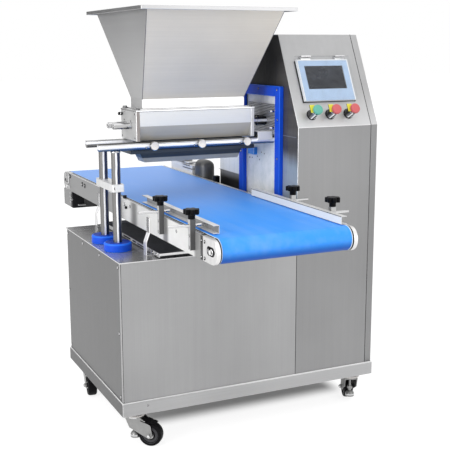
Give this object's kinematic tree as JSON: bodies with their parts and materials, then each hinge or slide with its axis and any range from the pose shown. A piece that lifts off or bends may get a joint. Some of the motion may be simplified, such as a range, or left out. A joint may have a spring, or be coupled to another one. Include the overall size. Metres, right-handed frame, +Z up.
{
  "type": "dough depositor",
  "caption": "Floor-standing dough depositor on casters: a hopper with feed rollers that lifts over a belt conveyor, beside a control column.",
  "frame": {"origin": "on the floor, in the middle of the outline", "axes": "+X to the operator's right, +Y away from the operator along the belt, +Z up"},
  "size_m": [0.9, 1.493, 1.336],
  "materials": {
    "brushed_steel": "brushed",
    "polished_steel": "polished",
    "aluminium": "satin",
    "dark_steel": "satin, dark",
    "zinc": "zinc plated",
    "tyre_black": "matte",
    "belt_blue": "smooth, satin",
    "seal_blue": "satin",
    "black_plastic": "moulded, satin",
    "motor_grey": "matt paint",
    "bezel_blue": "moulded, satin",
    "screen_dark": "dark glass",
    "clear_cover": "clear, glossy",
    "button_green": "glossy",
    "button_red": "glossy"
  },
  "bodies": {
    "frame": {"base_frame": "brushed_steel", "cabinet_top": "polished_steel", "cabinet_front_panel": "brushed_steel", "cabinet_left_panel": "brushed_steel", "rear_cover": "brushed_steel", "column_front_panel": "brushed_steel", "column_left_wall": "brushed_steel", "column_right_cover": "brushed_steel", "lift_seal_frame": "seal_blue", "front_post_seal": "seal_blue", "rear_post_seal": "seal_blue", "lift_actuator": "motor_grey", "screen_housing": "bezel_blue", "touch_screen": "screen_dark", "conveyor_left_plate": "brushed_steel", "front_left_end_block": "aluminium", "conveyor_frame": "brushed_steel", "front_conveyor_bracket": "brushed_steel", "rear_conveyor_bracket": "brushed_steel", "conveyor_belt": "belt_blue", "belt_drive_cover": "brushed_steel", "conveyor_gearmotor": "motor_grey"},
    "lifting_head": {"carriage_plate": "brushed_steel", "feed_gearmotor": "aluminium", "front_bar": "polished_steel", "rear_bar": "polished_steel", "front_post": "polished_steel", "rear_post": "polished_steel", "post_tie_block": "aluminium", "head_body": "brushed_steel", "left_end_plate": "aluminium", "right_end_plate": "aluminium", "nozzle_manifold": "dark_steel", "hopper": "brushed_steel"},
    "front_feed_roller": {"front_feed_roller": "polished_steel"},
    "rear_feed_roller": {"rear_feed_roller": "polished_steel"},
    "left_clamp_knob": {"left_clamp_knob": "polished_steel"},
    "middle_clamp_knob": {"middle_clamp_knob": "polished_steel"},
    "right_clamp_knob": {"right_clamp_knob": "polished_steel"},
    "front_belt_roller": {"front_belt_roller": "aluminium"},
    "rear_belt_roller": {"rear_belt_roller": "aluminium"},
    "crumb_tray": {"crumb_tray": "polished_steel"},
    "left_guide": {"left_guide_rail": "brushed_steel"},
    "right_guide": {"right_guide_rail": "brushed_steel"},
    "screen_cover": {"screen_cover": "clear_cover"},
    "start_button": {"start_button": "button_green"},
    "stop_button": {"stop_button": "button_red"},
    "emergency_stop_button": {"emergency_stop_button": "button_red"},
    "front_left_star_knob": {"front_left_star_knob": "black_plastic"},
    "rear_left_star_knob": {"rear_left_star_knob": "black_plastic"},
    "front_right_star_knob": {"front_right_star_knob": "black_plastic"},
    "rear_right_star_knob": {"rear_right_star_knob": "black_plastic"},
    "front_left_caster": {"front_left_fork": "zinc"},
    "front_left_wheel": {"front_left_wheel": "tyre_black"},
    "front_right_caster": {"front_right_fork": "zinc"},
    "front_right_wheel": {"front_right_wheel": "tyre_black"},
    "rear_left_caster": {"rear_left_fork": "zinc"},
    "rear_left_wheel": {"rear_left_wheel": "tyre_black"},
    "rear_right_caster": {"rear_right_fork": "zinc"},
    "rear_right_wheel": {"rear_right_wheel": "tyre_black"}
  },
  "joints": [
    {"name": "head_lift", "type": "slide", "parent": "frame", "child": "lifting_head", "axis": [0, 0, 1], "range_m": [-0.06, 0.015]},
    {"name": "front_feed_roller_spin", "type": "hinge", "parent": "lifting_head", "child": "front_feed_roller", "pos_m": [-0.125, -0.0935, 0.979], "axis": [1, 0, 0], "continuous": true},
    {"name": "rear_feed_roller_spin", "type": "hinge", "parent": "lifting_head", "child": "rear_feed_roller", "pos_m": [-0.125, -0.0415, 0.979], "axis": [1, 0, 0], "continuous": true},
    {"name": "left_clamp_knob_turn", "type": "hinge", "parent": "lifting_head", "child": "left_clamp_knob", "pos_m": [-0.276, -0.149, 0.919], "axis": [0, -1, 0], "continuous": true},
    {"name": "middle_clamp_knob_turn", "type": "hinge", "parent": "lifting_head", "child": "middle_clamp_knob", "pos_m": [-0.116, -0.149, 0.919], "axis": [0, -1, 0], "continuous": true},
    {"name": "right_clamp_knob_turn", "type": "hinge", "parent": "lifting_head", "child": "right_clamp_knob", "pos_m": [0.044, -0.149, 0.919], "axis": [0, -1, 0], "continuous": true},
    {"name": "front_belt_roller_spin", "type": "hinge", "parent": "frame", "child": "front_belt_roller", "pos_m": [-0.1195, -0.708, 0.7025], "axis": [1, 0, 0], "continuous": true},
    {"name": "rear_belt_roller_spin", "type": "hinge", "parent": "frame", "child": "rear_belt_roller", "pos_m": [-0.1195, 0.708, 0.7025], "axis": [1, 0, 0], "continuous": true},
    {"name": "crumb_tray_slide", "type": "slide", "parent": "frame", "child": "crumb_tray", "axis": [0, -1, 0], "range_m": [0, 0.35]},
    {"name": "left_guide_slide", "type": "slide", "parent": "frame", "child": "left_guide", "axis": [1, 0, 0], "range_m": [-0.018, 0.05]},
    {"name": "right_guide_slide", "type": "slide", "parent": "frame", "child": "right_guide", "axis": [1, 0, 0], "range_m": [-0.045, 0.006]},
    {"name": "front_left_star_knob_turn", "type": "hinge", "parent": "frame", "child": "front_left_star_knob", "pos_m": [-0.3385, -0.5985, 0.7703], "axis": [0, 0, 1], "continuous": true},
    {"name": "rear_left_star_knob_turn", "type": "hinge", "parent": "frame", "child": "rear_left_star_knob", "pos_m": [-0.3385, -0.3655, 0.7703], "axis": [0, 0, 1], "continuous": true},
    {"name": "front_right_star_knob_turn", "type": "hinge", "parent": "frame", "child": "front_right_star_knob", "pos_m": [0.0995, -0.5985, 0.7703], "axis": [0, 0, 1], "continuous": true},
    {"name": "rear_right_star_knob_turn", "type": "hinge", "parent": "frame", "child": "rear_right_star_knob", "pos_m": [0.0995, -0.3655, 0.7703], "axis": [0, 0, 1], "continuous": true},
    {"name": "screen_cover_hinge", "type": "hinge", "parent": "frame", "child": "screen_cover", "pos_m": [0.284, -0.21551, 1.1898], "axis": [-1, 0, 0], "range_deg": [0, 105]},
    {"name": "start_button_press", "type": "slide", "parent": "frame", "child": "start_button", "axis": [0, 0.8987, -0.4385], "range_m": [0, 0.005], "stiffness_N_per_m": 400, "springref_m": -0.002},
    {"name": "stop_button_press", "type": "slide", "parent": "frame", "child": "stop_button", "axis": [0, 0.8987, -0.4385], "range_m": [0, 0.005], "stiffness_N_per_m": 400, "springref_m": -0.002},
    {"name": "emergency_stop_button_press", "type": "slide", "parent": "frame", "child": "emergency_stop_button", "axis": [0, 0.8987, -0.4385], "range_m": [0, 0.005], "stiffness_N_per_m": 400, "springref_m": -0.002},
    {"name": "front_left_caster_swivel", "type": "hinge", "parent": "frame", "child": "front_left_caster", "pos_m": [-0.395, -0.2595, 0.112], "axis": [0, 0, 1], "continuous": true},
    {"name": "front_left_wheel_spin", "type": "hinge", "parent": "front_left_caster", "child": "front_left_wheel", "pos_m": [-0.35402, -0.29151, 0.0375], "axis": [0.6157, 0.788, 0], "continuous": true},
    {"name": "front_right_caster_swivel", "type": "hinge", "parent": "frame", "child": "front_right_caster", "pos_m": [0.395, -0.2595, 0.112], "axis": [0, 0, 1], "continuous": true},
    {"name": "front_right_wheel_spin", "type": "hinge", "parent": "front_right_caster", "child": "front_right_wheel", "pos_m": [0.41448, -0.21129, 0.0375], "axis": [-0.9272, 0.3746, 0], "continuous": true},
    {"name": "rear_left_caster_swivel", "type": "hinge", "parent": "frame", "child": "rear_left_caster", "pos_m": [-0.395, 0.2405, 0.112], "axis": [0, 0, 1], "continuous": true},
    {"name": "rear_left_wheel_spin", "type": "hinge", "parent": "rear_left_caster", "child": "rear_left_wheel", "pos_m": [-0.40314, 0.18914, 0.0375], "axis": [0.9877, -0.1564, 0], "continuous": true},
    {"name": "rear_right_caster_swivel", "type": "hinge", "parent": "frame", "child": "rear_right_caster", "pos_m": [0.395, 0.2405, 0.112], "axis": [0, 0, 1], "continuous": true},
    {"name": "rear_right_wheel_spin", "type": "hinge", "parent": "rear_right_caster", "child": "rear_right_wheel", "pos_m": [0.395, 0.2925, 0.0375], "axis": [-1, 0, 0], "continuous": true}
  ],
  "couplings": [
    {"joint": "rear_feed_roller_spin", "follows": "front_feed_roller_spin", "ratio": -1},
    {"joint": "rear_belt_roller_spin", "follows": "front_belt_roller_spin", "ratio": 1}
  ]
}
